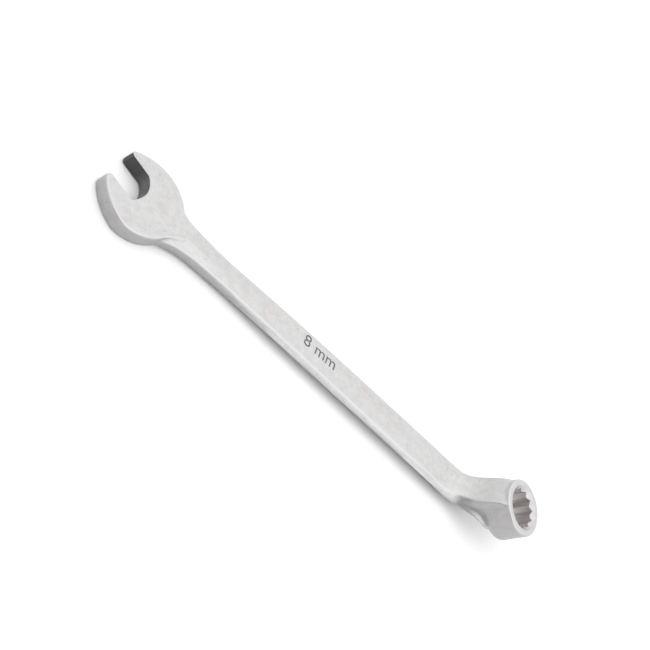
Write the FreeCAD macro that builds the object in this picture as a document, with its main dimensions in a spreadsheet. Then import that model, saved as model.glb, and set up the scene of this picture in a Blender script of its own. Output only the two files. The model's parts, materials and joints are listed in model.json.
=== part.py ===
import FreeCAD, Part
import math
import os
import Sketcher
from FreeCAD import Placement, Rotation, Vector

# Combination wrench, 8 mm across flats, drop forged in one piece: an open end whose jaw is
# turned 15 degrees, a flat shank, and a steep crank up to a twelve-point ring that leans
# back by 11.5 degrees. Millimetres and degrees. X runs along the shank towards the ring, Y
# across it and Z up. While the body is drawn, its origin is where the jaw's axis crosses the
# shank's centreline, halfway through the open end. The body's Placement then puts the origin
# at the bottom centre of the whole wrench, level with the open end's lower cheek.

NODE = "wrench"
POINTS = 12

DIMENSIONS = {
    # open end
    "across_flats": 8.0,
    "jaw_angle": 15.0,
    "jaw_clearance": 0.04,
    "head_thickness": 3.94,
    "head_half_width": 9.8,
    "head_centre_along": -0.8,
    "head_centre_across": 0.3,
    "front_radius": 13.0,
    "front_reach": 10.8,
    "front_across": -0.15,
    "front_half_width": 3.35,
    "back_radius": 9.75,
    "heel_radius": 11.35,
    "heel_along": -7.9,
    "heel_across": -5.6,
    "throat_centre": 5.0,
    "throat_radius": 4.6,
    "throat_lower_radius": 7.4,
    "lead_in_start": 7.9,
    "lead_in_slope": 1.0,
    "mouth_reach": 14.0,
    "tip_rounding": 0.6,
    "shoulder_rounding": 4.0,
    "head_edge_rounding": 0.35,
    # shank: the stations below are drawn for a 6.5 mm wide bar and scale with it
    "shank_width": 6.5,
    "web_step_radius": 14.5,
    "web_sink": 0.01,
    # ring end
    "ring_centre": 111.7,
    "ring_top": 10.9,
    "ring_tilt": 11.5,
    "ring_radius": 6.55,
    "ring_height": 7.3,
    "ring_top_rounding": 0.3,
    "ring_bottom_rounding": 1.0,
    "bore_oversize": 1.01,
    "countersink": 0.5,
}

NOMINAL_WIDTH = 6.5

# How near an edge's centre has to be to where it is looked for.
NEAR = 0.1

# Distance from the bore's axis to one of its outer corners.
OUTER_CORNER = "(Dims.across_flats * Dims.bore_oversize / 2 / cos(30 deg))"

# Cross-sections of the shank and the crank: where along X, the ridge on top, the keel
# underneath, and the right side's corners as (y, z) from the top edge, down the flank and
# out to the widest line, then round to the base edge. The left side is the same unless it
# has corners of its own, as beside the head, where it drops below the cheek in a forged step.
STATIONS = [
    (5.0, (-1.0, 1.80), (0.0, -1.80), [(6.4, 1.75), (6.6, 0.5), (6.6, -0.5), (6.5, -1.25)],
     [(6.9, 1.10), (7.1, 0.4), (7.1, -0.5), (7.0, -1.25)]),
    (8.0, (-1.0, 1.95), (0.0, -1.80), [(4.8, 1.94), (5.0, 0.5), (5.0, -0.5), (4.9, -1.25)],
     [(5.4, 1.12), (5.6, 0.4), (5.6, -0.5), (5.5, -1.25)]),
    (11.0, (-1.0, 1.95), (0.0, -1.80), [(3.4, 1.91), (3.6, 0.5), (3.6, -0.5), (3.5, -1.25)],
     [(4.2, 1.14), (4.3, 0.4), (4.3, -0.5), (4.2, -1.25)]),
    (14.5, (-1.0, 1.87), (0.0, -1.65), [(3.2, 1.66), (3.3, 0.5), (3.3, -0.5), (3.3, -1.25)],
     [(3.5, 1.15), (3.6, 0.4), (3.6, -0.5), (3.5, -1.25)]),
    (20.0, (-0.8, 1.60), (0.0, -1.45), [(3.2, 1.25), (3.3, 0.5), (3.3, -0.5), (3.2, -1.25)], None),
    (29.0, (-0.5, 1.55), (0.0, -1.45), [(3.25, 1.32), (3.5, 0.75), (3.5, -0.5), (2.9, -1.3)],
     [(3.0, 1.42), (3.42, 0.72), (3.45, -0.5), (2.85, -1.28)]),
    (38.0, (-0.3, 1.74), (0.0, -1.45), [(3.25, 1.62), (3.65, 0.95), (4.05, 0.2), (2.6, -1.3)], None),
    (50.0, (0.0, 1.90), (0.0, -1.45), [(3.4, 1.76), (3.8, 1.1), (4.2, 0.35), (2.5, -1.3)], None),
    (66.0, (0.0, 2.00), (0.0, -1.45), [(3.55, 1.85), (3.95, 1.2), (4.3, 0.5), (2.4, -1.32)], None),
    (82.0, (0.0, 2.05), (0.0, -1.50), [(3.6, 1.9), (4.0, 1.25), (4.35, 0.55), (2.4, -1.35)], None),
    (93.0, (0.0, 2.05), (0.0, -1.50), [(3.6, 1.92), (4.0, 1.2), (4.4, 0.5), (2.5, -1.38)], None),
    (97.5, (0.0, 2.50), (0.0, -1.45), [(3.45, 2.3), (3.9, 1.35), (4.5, 0.35), (2.8, -1.3)], None),
    (100.0, (0.0, 3.85), (0.0, -0.90), [(3.3, 3.6), (3.6, 1.75), (4.75, 0.6), (3.2, -0.75)], None),
    (102.6, (0.0, 7.00), (0.0, 0.90), [(3.65, 6.75), (4.05, 3.5), (5.4, 2.2), (4.3, 1.2)], None),
    (105.2, (0.0, 11.0), (0.0, 3.10), [(3.7, 10.75), (4.3, 5.2), (6.2, 3.9), (5.0, 3.2)], None),
    (106.6, (0.0, 11.65), (0.0, 3.70), [(3.8, 11.5), (4.7, 6.0), (6.5, 4.1), (5.5, 3.6)], None),
    (109.5, (0.0, 10.9), (0.0, 4.70), [(4.4, 10.8), (5.2, 8.0), (5.9, 5.1), (5.2, 4.7)], None),
]


# Outline of the cheek's tongue over the shank, as (x, y), anticlockwise. The side that
# starts at WEB_STEP is the curved step.
WEB_CORNERS = [
    (4.0, 6.5),
    (4.0, -7.6),
    (7.9, -4.9),
    (11.8, -2.1),
    (11.8, 2.9),
    (10.5, 3.35),
    (8.4, 4.6),
]
WEB_STEP = 2


def make_sheet(doc):
    """Put the driving dimensions in a spreadsheet, one alias to a row."""
    sheet = doc.addObject("Spreadsheet::Sheet", "Dims")
    for row, (alias, value) in enumerate(DIMENSIONS.items(), start=1):
        sheet.set(f"A{row}", alias)
        sheet.set(f"B{row}", str(value))
        sheet.setAlias(f"B{row}", alias)
    doc.recompute()


def new_sketch(body, name, role, offset=None):
    """An empty sketch on one of the body's origin planes, moved by an attachment offset."""
    sketch = body.newObject("Sketcher::SketchObject", name)
    plane = next(f for f in body.Origin.OriginFeatures if f.Role == role)
    sketch.AttachmentSupport = [(plane, "")]
    sketch.MapMode = "FlatFace"
    if offset:
        sketch.AttachmentOffset = offset
    return sketch


def number(sketch, expression):
    """The value of an expression as a plain number."""
    value = sketch.evalExpression(expression)
    return float(getattr(value, "Value", value))


def point(sketch, corner):
    return Vector(number(sketch, corner[0]), number(sketch, corner[1]), 0)


def bind(sketch, kind, expression, *where):
    """Add a driving constraint whose value is an expression."""
    index = sketch.addConstraint(Sketcher.Constraint(kind, *where, number(sketch, expression)))
    sketch.setExpression(f"Constraints[{index}]", expression)


def bind_point(sketch, geometry, end, corner):
    bind(sketch, "DistanceX", corner[0], -1, 1, geometry, end)
    bind(sketch, "DistanceY", corner[1], -1, 1, geometry, end)


def add_polygon(sketch, corners):
    """A closed outline through corners, each a pair of expressions."""
    count = len(corners)
    points = [point(sketch, corner) for corner in corners]
    for i in range(count):
        sketch.addGeometry(Part.LineSegment(points[i], points[(i + 1) % count]))
    for i in range(count):
        sketch.addConstraint(Sketcher.Constraint("Coincident", i, 2, (i + 1) % count, 1))
        bind_point(sketch, i, 1, corners[i])


def bulge(start, finish, radius, outward):
    """A point halfway along the short arc of this radius between two points."""
    chord = finish - start
    sagitta = radius - math.sqrt(radius ** 2 - (chord.Length / 2) ** 2)
    right = Vector(chord.y, -chord.x, 0).normalize()
    return (start + finish) * 0.5 + right * (sagitta if outward else -sagitta)


def add_chain(sketch, corners, arcs, hollows=()):
    """A closed outline, anticlockwise. Side numbers in arcs get that radius, not a line.

    An arc bulges outward unless its side is also in hollows.
    """
    count = len(corners)
    points = [point(sketch, corner) for corner in corners]
    ends = []
    for i in range(count):
        start, finish = points[i], points[(i + 1) % count]
        if i in arcs:
            middle = bulge(start, finish, number(sketch, arcs[i]), i not in hollows)
            sketch.addGeometry(Part.Arc(start, middle, finish))
            turned = sketch.getPoint(i, 1).distanceToPoint(start) > 1e-6
            ends.append((2, 1) if turned else (1, 2))
        else:
            sketch.addGeometry(Part.LineSegment(start, finish))
            ends.append((1, 2))
    for i in range(count):
        following = (i + 1) % count
        sketch.addConstraint(
            Sketcher.Constraint("Coincident", i, ends[i][1], following, ends[following][0]))
        bind_point(sketch, i, ends[i][0], corners[i])
    for i, radius in arcs.items():
        bind(sketch, "Radius", radius, i)


def jaw_frame():
    """Sketch axes along the jaw: x out of the mouth, y towards the lower jaw."""
    return Placement(Vector(), Rotation(Vector(0, 0, 1), 180 - DIMENSIONS["jaw_angle"]))


def jaw_sketch(body, name):
    sketch = new_sketch(body, name, "XY_Plane", jaw_frame())
    sketch.setExpression("AttachmentOffset.Rotation.Angle", "180 deg - Dims.jaw_angle * 1 deg")
    return sketch


def add_head(body):
    """The open end's pad: an arc along each jaw, and two round the back."""
    sketch = jaw_sketch(body, "HeadOutline")
    along = "Dims.head_centre_along"
    across = "Dims.head_centre_across"
    reach = f"{along} + Dims.front_reach"
    corners = [
        (along, f"{across} + Dims.head_half_width"),
        (f"{along} + Dims.heel_along", f"{across} + Dims.heel_across"),
        (along, f"{across} - Dims.head_half_width"),
        (reach, "Dims.front_across - Dims.front_half_width"),
        (reach, "Dims.front_across + Dims.front_half_width"),
    ]
    arcs = {
        0: "Dims.heel_radius",
        1: "Dims.back_radius",
        2: "Dims.front_radius",
        4: "Dims.front_radius",
    }
    add_chain(sketch, corners, arcs)
    pad = body.newObject("PartDesign::Pad", "Head")
    pad.Profile = sketch
    pad.SideType = "Symmetric"
    pad.setExpression("Length", "Dims.head_thickness")
    return pad


def add_web(body):
    """The cheek's tongue, which runs out over the shank and ends in a curved step."""
    sketch = new_sketch(body, "WebOutline", "XY_Plane")
    corners = [(str(x), str(y)) for x, y in WEB_CORNERS]
    add_chain(sketch, corners, {WEB_STEP: "Dims.web_step_radius"}, hollows=(WEB_STEP,))
    pad = body.newObject("PartDesign::Pad", "Web")
    pad.Profile = sketch
    pad.SideType = "Symmetric"
    pad.setExpression("Length", "Dims.head_thickness - 2 * Dims.web_sink")
    return pad


def station_corners(ridge, keel, right, left):
    """One cross-section's corners, anticlockwise from the ridge."""
    left = left or right
    chain = [ridge]
    chain += [(-y, z) for y, z in left]
    chain += [keel]
    chain += [(y, z) for y, z in reversed(right)]
    scale = f"Dims.shank_width / {NOMINAL_WIDTH}"
    return [(f"{y} * {scale}", f"{z} * {scale}") for y, z in chain]


def add_shank(body):
    """The shank and crank in one loft, from inside the head to inside the ring."""
    sketches = []
    for index, (x, ridge, keel, right, left) in enumerate(STATIONS):
        offset = Placement(Vector(0, 0, x), Rotation())
        sketch = new_sketch(body, f"Station{index}", "YZ_Plane", offset)
        add_polygon(sketch, station_corners(ridge, keel, right, left))
        sketches.append(sketch)
    loft = body.newObject("PartDesign::AdditiveLoft", "Shank")
    loft.Profile = sketches[0]
    loft.Sections = sketches[1:]
    return loft


def ring_section_sketch(body, name):
    """A sketch in the plane of symmetry: x out from the bore's axis, y up along it."""
    spin = Rotation(Vector(0, 0, 1), -DIMENSIONS["ring_tilt"])
    place = Vector(DIMENSIONS["ring_centre"], DIMENSIONS["ring_top"], 0)
    sketch = new_sketch(body, name, "XZ_Plane", Placement(place, spin))
    sketch.setExpression("AttachmentOffset.Base.x", "Dims.ring_centre")
    sketch.setExpression("AttachmentOffset.Base.y", "Dims.ring_top")
    return sketch


def add_ring(body):
    """The ring, turned from half a section with a rounded rim at each face."""
    sketch = ring_section_sketch(body, "RingSection")
    radius, height = "Dims.ring_radius", "Dims.ring_height"
    top, bottom = "Dims.ring_top_rounding", "Dims.ring_bottom_rounding"
    inside = "Dims.across_flats / 4"
    corners = [
        (inside, "0"),
        (inside, f"-{height}"),
        (f"{radius} - {bottom}", f"-{height}"),
        (radius, f"{bottom} - {height}"),
        (radius, f"-{top}"),
        (f"{radius} - {top}", "0"),
    ]
    add_chain(sketch, corners, {2: bottom, 4: top})
    ring = body.newObject("PartDesign::Revolution", "Ring")
    ring.Profile = sketch
    ring.ReferenceAxis = (sketch, ["V_Axis"])
    ring.Angle = 360
    return ring


def round_edges(body, name, radius, chosen):
    """Fillet the edges of the body so far that the test picks."""
    edges = [f"Edge{i}" for i, edge in enumerate(body.Shape.Edges, start=1) if chosen(edge)]
    base = body.Tip
    fillet = body.newObject("PartDesign::Fillet", name)
    fillet.Base = (base, edges)
    fillet.setExpression("Radius", radius)
    return fillet


def is_upright(edge):
    start, finish = edge.Vertexes[0].Point, edge.Vertexes[-1].Point
    return abs(start.z - finish.z) > DIMENSIONS["head_thickness"] / 2


def jaw_place(edge):
    """An edge's centre, measured from the jaw's axes."""
    return jaw_frame().inverse().multVec(edge.CenterOfMass)


def mouth_half_width(x):
    """Half the mouth's width at a distance along the jaw."""
    half = DIMENSIONS["across_flats"] / 2 + DIMENSIONS["jaw_clearance"]
    return half + max(0, x - DIMENSIONS["lead_in_start"]) * DIMENSIONS["lead_in_slope"]


def round_shoulders(body):
    """Smooth the slight corner where the back's arc meets each jaw's arc."""
    def chosen(edge):
        return is_upright(edge) and abs(jaw_place(edge).x - DIMENSIONS["head_centre_along"]) < NEAR

    return round_edges(body, "Shoulders", "Dims.shoulder_rounding", chosen)


def round_tips(body):
    """The jaws' outer corners: the upright edges beyond the start of the lead-in."""
    def chosen(edge):
        return is_upright(edge) and jaw_place(edge).x > DIMENSIONS["lead_in_start"] + NEAR

    return round_edges(body, "Tips", "Dims.tip_rounding", chosen)


def round_head(body):
    """The rim of both cheeks, all the way round outside the mouth."""
    def chosen(edge):
        middle = jaw_place(edge)
        on_a_cheek = abs(abs(middle.z) - DIMENSIONS["head_thickness"] / 2) < NEAR
        beside_mouth = abs(middle.y) > mouth_half_width(middle.x) + NEAR
        behind_mouth = middle.x < DIMENSIONS["throat_centre"] - DIMENSIONS["throat_radius"] - NEAR
        return on_a_cheek and (beside_mouth or behind_mouth)

    return round_edges(body, "HeadRims", "Dims.head_edge_rounding", chosen)


def cut_jaw(body):
    """The mouth: two parallel faces, a throat that is rounder above, and a lead-in at each tip."""
    sketch = jaw_sketch(body, "JawOutline")
    half = "(Dims.across_flats / 2 + Dims.jaw_clearance)"
    end = "Dims.mouth_reach"
    flare = f"({half} + ({end} - Dims.lead_in_start) * Dims.lead_in_slope)"
    bottom = "(Dims.throat_centre - Dims.throat_radius)"
    upper, lower = "Dims.throat_radius", "Dims.throat_lower_radius"
    corners = [
        (f"{bottom} + {lower} - sqrt({lower} ^ 2 - {half} ^ 2)", half),
        (bottom, "0"),
        (f"{bottom} + {upper} - sqrt({upper} ^ 2 - {half} ^ 2)", f"-{half}"),
        ("Dims.lead_in_start", f"-{half}"),
        (end, f"-{flare}"),
        (end, flare),
        ("Dims.lead_in_start", half),
    ]
    add_chain(sketch, corners, {0: lower, 1: upper})
    pocket = body.newObject("PartDesign::Pocket", "Jaw")
    pocket.Profile = sketch
    pocket.SideType = "Symmetric"
    pocket.setExpression("Length", "Dims.head_thickness * 2")
    return pocket


def bore_corners():
    """Twelve outer points a twelfth of a turn apart, with an inner corner between each two."""
    inner = f"({OUTER_CORNER} * cos(30 deg) / cos(15 deg))"
    corners = []
    for i in range(2 * POINTS):
        radius = inner if i % 2 else OUTER_CORNER
        angle = 180 * i / POINTS
        corners.append((f"{radius} * cos({angle} deg)", f"{radius} * sin({angle} deg)"))
    return corners


def cut_bore(body):
    """The twelve-point socket, along the ring's leaning axis."""
    tilt = Rotation(Vector(0, 1, 0), DIMENSIONS["ring_tilt"])
    place = Vector(DIMENSIONS["ring_centre"], 0, DIMENSIONS["ring_top"])
    sketch = new_sketch(body, "BoreOutline", "XY_Plane", Placement(place, tilt))
    sketch.setExpression("AttachmentOffset.Base.x", "Dims.ring_centre")
    sketch.setExpression("AttachmentOffset.Base.z", "Dims.ring_top")
    sketch.setExpression("AttachmentOffset.Rotation.Angle", "Dims.ring_tilt * 1 deg")
    add_polygon(sketch, bore_corners())
    pocket = body.newObject("PartDesign::Pocket", "Bore")
    pocket.Profile = sketch
    pocket.SideType = "Symmetric"
    pocket.setExpression("Length", "Dims.ring_height * 4")
    return pocket


def cut_countersink(body, name, face, inwards):
    """A 45 degree cone into the bore from one face, a little wider than its corners."""
    sketch = ring_section_sketch(body, name + "Section")
    rim = f"({OUTER_CORNER} + Dims.countersink)"
    over = "Dims.countersink"
    add_polygon(sketch, [
        ("0", f"{face} - {inwards} * {over}"),
        ("0", f"{face} + {inwards} * {rim}"),
        (f"{rim} + {over}", f"{face} - {inwards} * {over}"),
    ])
    groove = body.newObject("PartDesign::Groove", name)
    groove.Profile = sketch
    groove.ReferenceAxis = (sketch, ["V_Axis"])
    groove.Angle = 360
    return groove


def cut_top_countersink(body):
    return cut_countersink(body, "TopCountersink", "0", "-1")


def cut_bottom_countersink(body):
    return cut_countersink(body, "BottomCountersink", "-Dims.ring_height", "1")


def check(doc, body):
    """Stop unless every object computed and the wrench is one valid solid."""
    doc.recompute()
    for item in doc.Objects:
        bad = {"Invalid", "Error"} & set(item.State)
        if bad:
            raise RuntimeError(f"{item.Name}: {sorted(bad)}")
    shape = body.Shape
    if shape.isNull() or not shape.isValid() or len(shape.Solids) != 1:
        raise RuntimeError(f"{body.Label}: not one valid solid")


STEPS = (
    add_head,
    cut_jaw,
    round_shoulders,
    round_tips,
    round_head,
    add_web,
    add_shank,
    add_ring,
    cut_bore,
    cut_top_countersink,
    cut_bottom_countersink,
)


def main():
    doc = FreeCAD.newDocument("CombinationWrench")
    make_sheet(doc)
    body = doc.addObject("PartDesign::Body", "Wrench")
    body.Label = NODE
    for step in STEPS:
        step(body)
        doc.recompute()
    check(doc, body)
    box = body.Shape.optimalBoundingBox()
    body.Placement = Placement(Vector(-box.Center.x, -box.Center.y, -box.ZMin), Rotation())
    check(doc, body)
    os.makedirs("parts", exist_ok=True)
    body.Shape.exportStep(f"parts/{NODE}.step")


main()
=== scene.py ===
import json
import math

import bmesh
import bpy
import numpy as np
from mathutils import Matrix, Vector, noise


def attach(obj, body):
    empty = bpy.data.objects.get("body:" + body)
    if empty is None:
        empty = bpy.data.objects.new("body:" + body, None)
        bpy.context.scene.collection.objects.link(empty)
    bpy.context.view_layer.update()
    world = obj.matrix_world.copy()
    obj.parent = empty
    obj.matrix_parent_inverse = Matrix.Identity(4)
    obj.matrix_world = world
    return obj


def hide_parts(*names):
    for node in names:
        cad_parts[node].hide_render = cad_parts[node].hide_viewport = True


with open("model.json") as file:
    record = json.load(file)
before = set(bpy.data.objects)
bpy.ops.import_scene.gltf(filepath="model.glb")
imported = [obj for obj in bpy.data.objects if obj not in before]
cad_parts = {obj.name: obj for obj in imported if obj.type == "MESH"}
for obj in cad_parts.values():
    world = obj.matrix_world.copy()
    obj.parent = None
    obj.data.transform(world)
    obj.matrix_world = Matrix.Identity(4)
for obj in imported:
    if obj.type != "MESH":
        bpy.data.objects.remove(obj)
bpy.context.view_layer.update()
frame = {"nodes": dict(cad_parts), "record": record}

# One-piece forged combination wrench with a satin chrome finish. The forging's skin is grown
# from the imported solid, with the mouth and the socket filled in, so that its corners flow into
# each other as in a die. Then the mouth, the socket and the size mark are cut crisply.
# Shapes are worked out in millimetres and turned into metres at the end. Lights, camera and
# material patterns are in metres.

# Millimetres in a metre.
MM = 1000.0

# --- the shapes that part.py gives, in millimetres ------------------------------------------
HEAD_THICKNESS = 3.94
THROAT_CENTRE = 5.0
THROAT_RADIUS = 4.6
THROAT_LOWER_RADIUS = 7.4
LEAD_IN_START = 7.9
LEAD_IN_SLOPE = 1.0
MOUTH_REACH = 14.0
RING_HEIGHT = 7.3
ACROSS_FLATS = 8.0
BORE_OVERSIZE = 1.01
COUNTERSINK = 0.5
POINTS = 12

# Distance from the socket's axis to one of its outer corners, and to one of its inner ones.
OUTER_CORNER = ACROSS_FLATS * BORE_OVERSIZE / 2 / math.cos(math.pi / 6)
INNER_CORNER = OUTER_CORNER * math.cos(math.pi / 6) / math.cos(math.pi / POINTS)

# --- how the forging's skin is grown --------------------------------------------------------
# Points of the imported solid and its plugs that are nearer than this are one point.
WELD = 1e-4
VOXEL = 0.15
# One round moves each point this share of the way to the mean of its neighbours.
RELAX = 0.8
SKIN_ROUNDS = 3
# Hollows are filled everywhere, and far more along X from NECK_START, in full by NECK_FULL.
HOLLOW_ROUNDS = 40
NECK_HOLLOW_ROUNDS = 320
NECK_START = 47.5
NECK_FULL = 50.5
# Along X the bend's extra rounding comes in from BEND_START to BEND_FULL, and goes out from
# BEND_END to RING_START.
BEND_ROUNDS = 90
BEND_START = 42.0
BEND_FULL = 45.0
BEND_END = 47.5
RING_START = 51.5
SKIN_WAVE = 0.012
SKIN_WAVE_LENGTH = 2.6
# Outward corners get polished wear and a painted edge highlight. It starts where relaxing would
# pull a corner in by the start figure, and is full the range figure on.
WEAR_HIGHLIGHT_ROUNDS = 6
WEAR_HIGHLIGHT_START = 0.003
WEAR_HIGHLIGHT_RANGE = 0.02
# Edges that turn by more degrees than this are shaded as sharp.
SHARP_ANGLE = 32

# --- the cuts -------------------------------------------------------------------------------
PLUG_REACH = 8.3
PLUG_HALF_WIDTH = 4.6
BORE_PLUG_RADIUS = 5.6
TOP_EDGE_BREAK = 0.08
BOTTOM_EDGE_BREAK = 0.3
# The mouth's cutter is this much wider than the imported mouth, to clear its faces.
SKIM = 0.015
THROAT_STEPS = 14
# The painted shade on the jaw's steel is lighter at the throat: how many times, and from which
# X to which, in metres.
THROAT_LESS_SHADE = (2.3, -0.0572, -0.0548)
# How far cutters reach past the faces that they cut through.
MOUTH_OVERSHOOT = 1.0
CONE_OVERSHOOT = 0.5
CONE_SEGMENTS = 96

# --- the size mark --------------------------------------------------------------------------
MARK_TEXT = "8 mm"
MARK_HEIGHT = 4.3
MARK_DEPTH = 0.12
MARK_HALF_SOLID = 1.0
MARK_WELD = 1e-5
MARK_CENTRE = (-2.2, 1.25)

# --- the light ------------------------------------------------------------------------------
# The sky's strength goes through SKY_RANGE as a direction's product with SKY_SLOPE goes
# through SKY_SPAN.
SKY_SLOPE = (0.05, 0.1, 0.45)
SKY_SPAN = (-0.1, 0.45)
SKY_RANGE = (1.5, 1.8)
# Towards each of these sides the sky is scaled by a share. A direction's product with the side
# says how near it is: not scaled below the first figure, scaled in full above the second.
DIM_SIDE = (-0.3, -0.95, 0.05)
DIM_SHARE = 0.02
DIM_EDGE = (0.72, 0.95)
FILL_SIDE = (0.36, -0.87, 0.34)
FILL_SHARE = 1.65
FILL_EDGE = (0.78, 0.98)
LAMP_ENERGY = 0.5
LAMP_SIZE = (0.8, 0.6)
LAMP_PLACE = (0.0, 0.05, 0.6)
FLOOR_HALF_WIDTH = 1.5

# --- the camera, in degrees, metres and millimetres of lens ---------------------------------
CAMERA_AZIMUTH = 30.81
CAMERA_ELEVATION = 40.52
CAMERA_ROLL = 64.34
CAMERA_PLACE = (-0.142322, -0.224066, 0.23523)
CAMERA_LENS = 90.35
CAMERA_SENSOR = 36.0
CAMERA_CLIP_START = 0.01


def mount(name):
    """A mount's place in millimetres and its axis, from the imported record."""
    found = next(m for m in frame["record"]["mounts"] if m["name"] == name)
    return Vector(found["pos_m"]) * MM, Vector(found["axis"])


def jaw_frame():
    """The jaw's own axes: x out of the mouth, y across it, z up, halfway through the head."""
    left, across = mount("jaw_face_left")
    right, _ = mount("jaw_face_right")
    up = Vector((0, 0, 1))
    out = across.cross(up)
    origin = (left + right) / 2 - out * THROAT_CENTRE
    turn = Matrix((out, across, up)).transposed().to_4x4()
    return Matrix.Translation(origin) @ turn, (left - right).length / 2


def ring_frame():
    """The socket's own axes: z along it, origin halfway down."""
    centre, axis = mount("ring_socket")
    turn = Vector((0, 0, 1)).rotation_difference(axis).to_matrix().to_4x4()
    return Matrix.Translation(centre) @ turn


def new_object(name, bm, place=Matrix.Identity(4)):
    """A mesh object from a bmesh, with its place put into its vertices."""
    bmesh.ops.recalc_face_normals(bm, faces=bm.faces)
    mesh = bpy.data.meshes.new(name)
    bm.to_mesh(mesh)
    bm.free()
    mesh.transform(place)
    obj = bpy.data.objects.new(name, mesh)
    bpy.context.scene.collection.objects.link(obj)
    return obj


def apply_modifiers(obj):
    """Swap an object's mesh for what its modifiers make of it."""
    graph = bpy.context.evaluated_depsgraph_get()
    made = bpy.data.meshes.new_from_object(obj.evaluated_get(graph))
    obj.modifiers.clear()
    old = obj.data
    obj.data = made
    bpy.data.meshes.remove(old)


def loft(name, outlines, place):
    """A closed solid through outlines, each a list of points with the same count."""
    bm = bmesh.new()
    rings = [[bm.verts.new(p) for p in outline] for outline in outlines]
    for low, high in zip(rings, rings[1:]):
        for i in range(len(low)):
            j = (i + 1) % len(low)
            bm.faces.new((low[i], low[j], high[j], high[i]))
    bm.faces.new(rings[0])
    bm.faces.new(rings[-1])
    return new_object(name, bm, place)


def widened(outline, distance):
    """An anticlockwise outline moved outwards by a distance, corners mitred."""
    moved = []
    for i, corner in enumerate(outline):
        before = (corner - outline[i - 1]).normalized()
        after = (outline[(i + 1) % len(outline)] - corner).normalized()
        normal = Vector((before.y + after.y, -before.x - after.x))
        moved.append(corner + normal * (2 * distance / normal.length_squared))
    return moved


def arc_from_bottom(radius, half, side):
    """Points on one half of the throat, from its bottom out to the jaw's face."""
    bottom = THROAT_CENTRE - THROAT_RADIUS
    sweep = math.asin(half / radius)
    points = []
    for i in range(THROAT_STEPS + 1):
        angle = sweep * i / THROAT_STEPS
        depth = bottom + radius * (1 - math.cos(angle))
        points.append(Vector((depth, side * radius * math.sin(angle))))
    return points


def mouth_outline(half):
    """The mouth seen from above, in the jaw's axes, anticlockwise."""
    flare = half + (MOUTH_REACH - LEAD_IN_START) * LEAD_IN_SLOPE
    lower = arc_from_bottom(THROAT_LOWER_RADIUS, half, 1)
    upper = arc_from_bottom(THROAT_RADIUS, half, -1)
    return lower[::-1] + upper[1:] + [
        Vector((LEAD_IN_START, -half)),
        Vector((MOUTH_REACH, -flare)),
        Vector((MOUTH_REACH, flare)),
        Vector((LEAD_IN_START, half)),
    ]


def mouth_cutter(place, half):
    """The mouth's prism, flaring at both cheeks so that it breaks their edges."""
    outline = mouth_outline(half)
    cheek = HEAD_THICKNESS / 2
    over = MOUTH_OVERSHOOT
    layers = [
        (-cheek - over, BOTTOM_EDGE_BREAK + over),
        (-cheek + BOTTOM_EDGE_BREAK, 0),
        (cheek - TOP_EDGE_BREAK, 0),
        (cheek + over, TOP_EDGE_BREAK + over),
    ]
    outlines = [[(p.x, p.y, z) for p in widened(outline, SKIM + spread)] for z, spread in layers]
    return loft("MouthCutter", outlines, place)


def mouth_plug(place):
    """Metal that fills the mouth while the skin is grown."""
    cheek = HEAD_THICKNESS / 2
    corners = [
        (0, -PLUG_HALF_WIDTH),
        (PLUG_REACH, -PLUG_HALF_WIDTH),
        (PLUG_REACH, PLUG_HALF_WIDTH),
        (0, PLUG_HALF_WIDTH),
    ]
    return loft("MouthPlug", [[(x, y, z) for x, y in corners] for z in (-cheek, cheek)], place)


def socket_cutter(place):
    """The twelve-point prism, twice as long as the ring is deep."""
    outline = []
    for i in range(2 * POINTS):
        radius = INNER_CORNER if i % 2 else OUTER_CORNER
        angle = math.pi * i / POINTS
        outline.append((radius * math.cos(angle), radius * math.sin(angle)))
    ends = (-RING_HEIGHT, RING_HEIGHT)
    return loft("SocketCutter", [[(x, y, z) for x, y in outline] for z in ends], place)


def countersink_cutter(place, side):
    """A 45 degree cone into the socket from one face."""
    radius = OUTER_CORNER + COUNTERSINK + CONE_OVERSHOOT
    bm = bmesh.new()
    bmesh.ops.create_cone(
        bm, cap_ends=True, segments=CONE_SEGMENTS, radius1=0, radius2=radius, depth=radius)
    shift = Matrix.Translation((0, 0, RING_HEIGHT / 2 + CONE_OVERSHOOT - radius / 2))
    flip = Matrix.Rotation(0 if side > 0 else math.pi, 4, "X")
    return new_object("CountersinkCutter", bm, place @ flip @ shift)


def socket_plug(place):
    """Metal that fills the socket while the skin is grown."""
    bm = bmesh.new()
    bmesh.ops.create_cone(
        bm, cap_ends=True, segments=CONE_SEGMENTS,
        radius1=BORE_PLUG_RADIUS, radius2=BORE_PLUG_RADIUS, depth=RING_HEIGHT)
    return new_object("SocketPlug", bm, place)


def read_points(mesh):
    """A mesh's vertices, one row each."""
    points = np.empty(len(mesh.vertices) * 3)
    mesh.vertices.foreach_get("co", points)
    return points.reshape(-1, 3)


def read_normals(mesh):
    """The normals at a mesh's vertices, one row each."""
    normals = np.empty(len(mesh.vertices) * 3)
    mesh.vertices.foreach_get("normal", normals)
    return normals.reshape(-1, 3)


def read_edges(mesh):
    """The two vertices of each edge, one row each."""
    edges = np.empty(len(mesh.edges) * 2, dtype=np.int32)
    mesh.edges.foreach_get("vertices", edges)
    return edges.reshape(-1, 2)


def write_points(mesh, points):
    """Move a mesh's vertices to points, one row each."""
    mesh.vertices.foreach_set("co", points.ravel())
    mesh.update()


def relaxed(points, edges, rounds):
    """Points after rounds of moving each towards the mean of its neighbours."""
    count = len(points)
    degree = np.maximum(np.bincount(edges.ravel(), minlength=count), 1)[:, None]
    points = points.copy()
    for _ in range(rounds):
        total = np.empty_like(points)
        for axis in range(3):
            values = points[:, axis]
            total[:, axis] = (np.bincount(edges[:, 0], values[edges[:, 1]], count)
                              + np.bincount(edges[:, 1], values[edges[:, 0]], count))
        points += RELAX * (total / degree - points)
    return points


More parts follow.
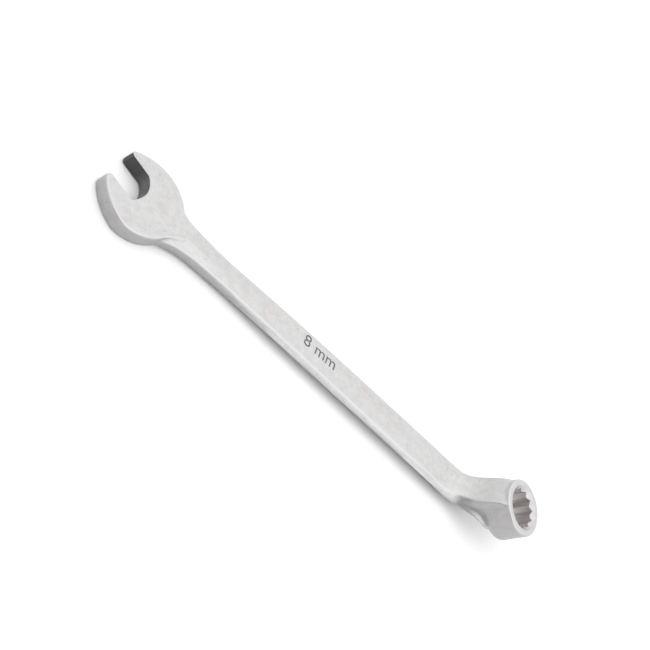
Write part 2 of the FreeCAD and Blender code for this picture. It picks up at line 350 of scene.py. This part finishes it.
def hollow_filling(points, normals, edges, rounds):
    """How far out each point has to go for hollows to be filled as far as relaxing would."""
    filling = ((relaxed(points, edges, rounds) - points) * normals).sum(1)
    return np.maximum(filling, 0)


def ramp_between(values, start, end):
    """0 up to start, 1 from end on, and a straight ramp between."""
    return np.clip((values - start) / (end - start), 0, 1)


def voxelise(obj):
    """Swap an object's mesh for an even one without overlaps."""
    remesh = obj.modifiers.new("Grow", "REMESH")
    remesh.mode = "VOXEL"
    remesh.voxel_size = VOXEL
    apply_modifiers(obj)


def fill_hollows(mesh):
    """Fill hollow corners a little everywhere and far more where the neck meets the ring."""
    points, normals, edges = read_points(mesh), read_normals(mesh), read_edges(mesh)
    filling = hollow_filling(points, normals, edges, HOLLOW_ROUNDS)
    neck = np.flatnonzero(points[:, 0] > NECK_START)
    number = np.full(len(points), -1)
    number[neck] = np.arange(len(neck))
    neck_edges = number[edges]
    neck_edges = neck_edges[(neck_edges >= 0).all(1)]
    more = hollow_filling(points[neck], normals[neck], neck_edges, NECK_HOLLOW_ROUNDS)
    share = ramp_between(points[neck, 0], NECK_START, NECK_FULL)
    filling[neck] = np.maximum(filling[neck], share * more)
    write_points(mesh, points + filling[:, None] * normals)


def soften(mesh):
    """Round every corner slightly and the bend's far more, and add a forging's faint waves.

    Nothing goes below the plane that the wrench lies on.
    """
    edges = read_edges(mesh)
    points = relaxed(read_points(mesh), edges, SKIN_ROUNDS)
    x = points[:, 0]
    share = ramp_between(x, BEND_START, BEND_FULL) * ramp_between(-x, -RING_START, -BEND_END)
    points += share[:, None] * (relaxed(points, edges, BEND_ROUNDS) - points)
    waves = [noise.noise(Vector(p) / SKIN_WAVE_LENGTH) for p in points]
    points += read_normals(mesh) * (np.array(waves)[:, None] * SKIN_WAVE)
    points[:, 2] = np.maximum(points[:, 2], 0)
    write_points(mesh, points)
    store_wear_and_highlight(mesh, points, edges)


def grow_skin(plugs):
    """The forging's skin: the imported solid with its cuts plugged, rounded as if from a die."""
    bm = bmesh.new()
    bm.from_mesh(frame["nodes"]["wrench"].data)
    bmesh.ops.scale(bm, vec=(MM, MM, MM), verts=bm.verts)
    bmesh.ops.remove_doubles(bm, verts=bm.verts, dist=WELD)
    for plug in plugs:
        bm.from_mesh(plug.data)
        bpy.data.objects.remove(plug)
    skin = new_object("wrench_forging", bm)
    voxelise(skin)
    fill_hollows(skin.data)
    voxelise(skin)
    soften(skin.data)
    return skin


def store_wear_and_highlight(mesh, points, edges):
    """An attribute that is 1 along outward corners: polished plating and a painted edge highlight.
    """
    normals = read_normals(mesh)
    inward = -((relaxed(points, edges, WEAR_HIGHLIGHT_ROUNDS) - points) * normals).sum(1)
    wear_and_painted_highlight = np.clip((inward - WEAR_HIGHLIGHT_START) / WEAR_HIGHLIGHT_RANGE, 0, 1).astype(np.float32)
    mesh.attributes.new("wear_and_painted_highlight", "FLOAT", "POINT").data.foreach_set("value", wear_and_painted_highlight)


def cut(obj, cutter, material):
    """Cut a solid out of the forging. The new faces get a material."""
    cutter.data.materials.append(material)
    step = obj.modifiers.new("Cut", "BOOLEAN")
    step.operation = "DIFFERENCE"
    step.solver = "EXACT"
    step.material_mode = "TRANSFER"
    step.object = cutter
    apply_modifiers(obj)
    bpy.data.objects.remove(cutter)


def mark_cutter(skin):
    """The size mark's letters as a solid that sinks into the shank's top by MARK_DEPTH."""
    curve = bpy.data.curves.new("Mark", "FONT")
    curve.body = MARK_TEXT
    curve.size = MARK_HEIGHT
    curve.align_x = "CENTER"
    curve.align_y = "CENTER"
    curve.extrude = MARK_HALF_SOLID
    text = bpy.data.objects.new("Mark", curve)
    bpy.context.scene.collection.objects.link(text)
    graph = bpy.context.evaluated_depsgraph_get()
    mesh = bpy.data.meshes.new_from_object(text.evaluated_get(graph))
    bpy.data.objects.remove(text)
    bm = bmesh.new()
    bm.from_mesh(mesh)
    bmesh.ops.remove_doubles(bm, verts=bm.verts, dist=MARK_WELD)
    high_above = Vector((*MARK_CENTRE, 50))
    _, place, normal, _ = skin.ray_cast(high_above, Vector((0, 0, -1)))
    tilt = Vector((0, 0, 1)).rotation_difference(normal).to_matrix().to_4x4()
    lift = Matrix.Translation((0, 0, MARK_HALF_SOLID - MARK_DEPTH))
    return new_object("MarkCutter", bm, Matrix.Translation(place) @ tilt @ lift)


class Nodes:
    """A short way to add and join shader nodes."""

    def __init__(self, tree):
        self.tree = tree
        tree.nodes.clear()

    def add(self, kind, inputs=None, **settings):
        """A node of a kind. Inputs are constants or other nodes' outputs."""
        node = self.tree.nodes.new(kind)
        for name, value in settings.items():
            setattr(node, name, value)
        for name, value in (inputs or {}).items():
            if isinstance(value, bpy.types.NodeSocket):
                self.tree.links.new(value, node.inputs[name])
            else:
                node.inputs[name].default_value = value
        return node

    def noise(self, vector, scale, detail=3.0, roughness=0.5):
        """Smooth noise, mostly between 0.3 and 0.7."""
        node = self.add("ShaderNodeTexNoise", {
            "Vector": vector, "Scale": scale, "Detail": detail, "Roughness": roughness})
        return node.outputs["Fac"]

    def ramp(self, factor, stops):
        """A colour from a factor, through stops of (place, colour)."""
        node = self.add("ShaderNodeValToRGB", {"Fac": factor})
        elements = node.color_ramp.elements
        while len(elements) < len(stops):
            elements.new(0.5)
        for element, (place, colour) in zip(elements, stops):
            element.position = place
            element.color = (*colour, 1)
        return node.outputs["Color"]

    def spread(self, factor, low, high, start=0.0, end=1.0):
        """A value from low to high as a factor goes from start to end."""
        node = self.add("ShaderNodeMapRange", {
            "Value": factor, "From Min": start, "From Max": end, "To Min": low, "To Max": high})
        return node.outputs["Result"]

    def mix(self, factor, first, second, blend="MIX"):
        """One colour over another. Each is a constant or another node's output."""
        node = self.add("ShaderNodeMix", data_type="RGBA", blend_type=blend)
        # A mix node's sockets go by number, as its colour and number sockets share names.
        for index, value in ((0, factor), (6, first), (7, second)):
            if isinstance(value, bpy.types.NodeSocket):
                self.tree.links.new(value, node.inputs[index])
            else:
                node.inputs[index].default_value = value
        return node.outputs[2]


def new_material(name):
    """An empty material and its nodes."""
    material = bpy.data.materials.new(name)
    material.use_nodes = True
    return material, Nodes(material.node_tree)


def finish_material(nodes, inputs):
    """Give a material its surface, with constants or other nodes' outputs as inputs."""
    shader = nodes.add("ShaderNodeBsdfPrincipled", inputs)
    nodes.add("ShaderNodeOutputMaterial", {"Surface": shader.outputs["BSDF"]})


def satin_chrome():
    """Bead-blasted forging under satin chrome: fine mottle, soft clouds, polished corners with a
    painted edge highlight.

    Noise scales are per metre, so 2600 gives grains of about 0.4 mm.
    """
    material, nodes = new_material("satin_chrome")
    place = nodes.add("ShaderNodeTexCoord").outputs["Object"]
    grain = nodes.noise(place, 2600.0, 4.0, 0.6)
    mottle = nodes.noise(place, 700.0, 3.0)
    clouds = nodes.noise(place, 150.0, 2.0)
    pits = nodes.noise(place, 1300.0, 2.0)
    wear_and_painted_highlight = nodes.add("ShaderNodeAttribute", attribute_name="wear_and_painted_highlight").outputs["Fac"]
    base = nodes.ramp(mottle, [(0.3, (0.405, 0.403, 0.402)), (0.7, (0.45, 0.448, 0.447))])
    speckle = nodes.ramp(grain, [(0.35, (0.9, 0.9, 0.9)), (0.6, (1, 1, 1))])
    base = nodes.mix(1.0, base, speckle, "MULTIPLY")
    warm = nodes.ramp(clouds, [(0.5, (1, 1, 1)), (0.75, (1.0, 0.965, 0.965))])
    colour = nodes.mix(1.0, base, warm, "MULTIPLY")
    spots = nodes.ramp(pits, [(0.24, (0.6, 0.6, 0.61)), (0.3, (1, 1, 1))])
    colour = nodes.mix(1.0, colour, spots, "MULTIPLY")
    # Outward corners go to a paler grey: polished wear and a painted edge highlight.
    colour = nodes.mix(wear_and_painted_highlight, colour, (0.43, 0.43, 0.43, 1))
    rough = nodes.spread(grain, 0.36, 0.5)
    bump = nodes.add("ShaderNodeBump", {"Height": grain, "Strength": 0.25, "Distance": 0.00002})
    soft = nodes.add("ShaderNodeBump", {
        "Height": mottle, "Strength": 0.35, "Distance": 0.00003, "Normal": bump.outputs["Normal"]})
    finish_material(nodes, {
        "Base Color": colour,
        "Metallic": 1.0,
        "Roughness": rough,
        "Normal": soft.outputs["Normal"],
    })
    return material


def cut_steel(name, stretch, dark, light, paler=None):
    """Bare broached steel, with fine tool lines along the cut.

    paler is (how many times, from which X, to which X) where the colour is paler further in.
    """
    material, nodes = new_material(name)
    place = nodes.add("ShaderNodeTexCoord").outputs["Object"]
    lines = nodes.add("ShaderNodeMapping", {"Vector": place, "Scale": stretch}).outputs["Vector"]
    scratch = nodes.noise(lines, 1.0, 3.0, 0.6)
    stain = nodes.noise(place, 400.0, 3.0)
    colour = nodes.ramp(scratch, [(0.3, dark), (0.7, light)])
    tint = nodes.ramp(stain, [(0.35, (0.9, 0.88, 0.87)), (0.65, (1, 1, 1))])
    colour = nodes.mix(1.0, colour, tint, "MULTIPLY")
    if paler:
        times, start, end = paler
        along = nodes.add("ShaderNodeSeparateXYZ", {"Vector": place}).outputs["X"]
        colour = nodes.mix(1.0, colour, nodes.spread(along, 1.0, times, start, end), "MULTIPLY")
    rough = nodes.spread(scratch, 0.34, 0.5)
    bump = nodes.add("ShaderNodeBump", {"Height": scratch, "Strength": 0.3, "Distance": 0.00002})
    finish_material(nodes, {
        "Base Color": colour,
        "Metallic": 1.0,
        "Roughness": rough,
        "Normal": bump.outputs["Normal"],
    })
    return material


def etched_mark():
    """The etched size mark: dark, matt and a little uneven."""
    material, nodes = new_material("etched_mark")
    place = nodes.add("ShaderNodeTexCoord").outputs["Object"]
    blotch = nodes.noise(place, 2500.0, 3.0)
    colour = nodes.ramp(blotch, [(0.3, (0.09, 0.09, 0.092)), (0.7, (0.2, 0.2, 0.205))])
    finish_material(nodes, {
        "Base Color": colour, "Metallic": 0.6, "Roughness": nodes.spread(blotch, 0.5, 0.7)})
    return material


def build_wrench():
    """The whole forging: grown skin, then every cut."""
    jaw, half = jaw_frame()
    ring = ring_frame()
    wrench = grow_skin([mouth_plug(jaw), socket_plug(ring)])
    chrome = satin_chrome()
    wrench.data.materials.clear()
    wrench.data.materials.append(chrome)
    # The jaw's faces are near black: painted shade where the jaws keep the light off each other,
    # over bare steel with tool lines. The shade lifts towards the throat.
    jaw_steel_painted_shade = cut_steel(
        "jaw_faces_painted_shade", (500, 500, 3500), (0.07, 0.07, 0.07), (0.1, 0.1, 0.1), THROAT_LESS_SHADE)
    bore_steel = cut_steel(
        "socket_steel", (3500, 3500, 300), (0.54, 0.515, 0.515), (0.68, 0.655, 0.655))
    cut(wrench, mouth_cutter(jaw, half), jaw_steel_painted_shade)
    cut(wrench, socket_cutter(ring), bore_steel)
    for side in (1, -1):
        cut(wrench, countersink_cutter(ring, side), chrome)
    cut(wrench, mark_cutter(wrench), etched_mark())
    wrench.data.transform(Matrix.Scale(1 / MM, 4))
    wrench.data.polygons.foreach_set("use_smooth", [True] * len(wrench.data.polygons))
    wrench.data.set_sharp_from_angle(angle=math.radians(SHARP_ANGLE))
    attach(wrench, "root")
    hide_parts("wrench")


def build_floor():
    """A plain pale surface under the wrench."""
    bm = bmesh.new()
    bmesh.ops.create_grid(bm, x_segments=1, y_segments=1, size=FLOOR_HALF_WIDTH)
    floor = new_object("floor", bm)
    material, nodes = new_material("pale_floor")
    place = nodes.add("ShaderNodeTexCoord").outputs["Object"]
    clouds = nodes.noise(place, 8.0)
    tone = nodes.ramp(clouds, [(0.3, (0.67, 0.67, 0.67)), (0.7, (0.69, 0.69, 0.69))])
    finish_material(nodes, {"Base Color": tone, "Roughness": 0.9})
    floor.data.materials.append(material)


def build_light():
    """Soft light from all round, strongest overhead, dim on one low side and fuller beside it."""
    world = bpy.data.worlds.new("studio")
    bpy.context.scene.world = world
    world.use_nodes = True
    nodes = Nodes(world.node_tree)
    direction = nodes.add("ShaderNodeTexCoord").outputs["Generated"]
    rise = nodes.add("ShaderNodeVectorMath", {0: direction}, operation="DOT_PRODUCT")
    rise.inputs[1].default_value = SKY_SLOPE
    strength = nodes.spread(rise.outputs["Value"], *SKY_RANGE, *SKY_SPAN)
    sides = [(DIM_SIDE, DIM_SHARE, DIM_EDGE), (FILL_SIDE, FILL_SHARE, FILL_EDGE)]
    for side, share, edge in sides:
        towards = nodes.add("ShaderNodeVectorMath", {0: direction}, operation="DOT_PRODUCT")
        towards.inputs[1].default_value = side
        scale = nodes.spread(towards.outputs["Value"], 1.0, share, *edge)
        product = nodes.add("ShaderNodeMath", {0: strength, 1: scale}, operation="MULTIPLY")
        strength = product.outputs["Value"]
    sky = nodes.add("ShaderNodeBackground", {"Color": (1, 1, 1, 1), "Strength": strength})
    nodes.add("ShaderNodeOutputWorld", {"Surface": sky.outputs["Background"]})
    lamp = bpy.data.lights.new("softbox", "AREA")
    lamp.shape = "RECTANGLE"
    lamp.size, lamp.size_y = LAMP_SIZE
    lamp.energy = LAMP_ENERGY
    box = bpy.data.objects.new("softbox", lamp)
    box.location = LAMP_PLACE
    bpy.context.scene.collection.objects.link(box)


def place_camera():
    """The viewpoint, as azimuth, elevation and roll about the line of sight."""
    data = bpy.data.cameras.new("camera")
    data.lens = CAMERA_LENS
    data.sensor_width = CAMERA_SENSOR
    data.clip_start = CAMERA_CLIP_START
    camera = bpy.data.objects.new("camera", data)
    turn = (Matrix.Rotation(-math.radians(CAMERA_AZIMUTH), 4, "Z")
            @ Matrix.Rotation(math.radians(90 - CAMERA_ELEVATION), 4, "X")
            @ Matrix.Rotation(math.radians(CAMERA_ROLL), 4, "Z"))
    camera.matrix_world = Matrix.Translation(CAMERA_PLACE) @ turn
    bpy.context.scene.collection.objects.link(camera)
    bpy.context.scene.camera = camera


build_wrench()
build_floor()
build_light()
place_camera()
bpy.context.scene.view_settings.view_transform = "Standard"
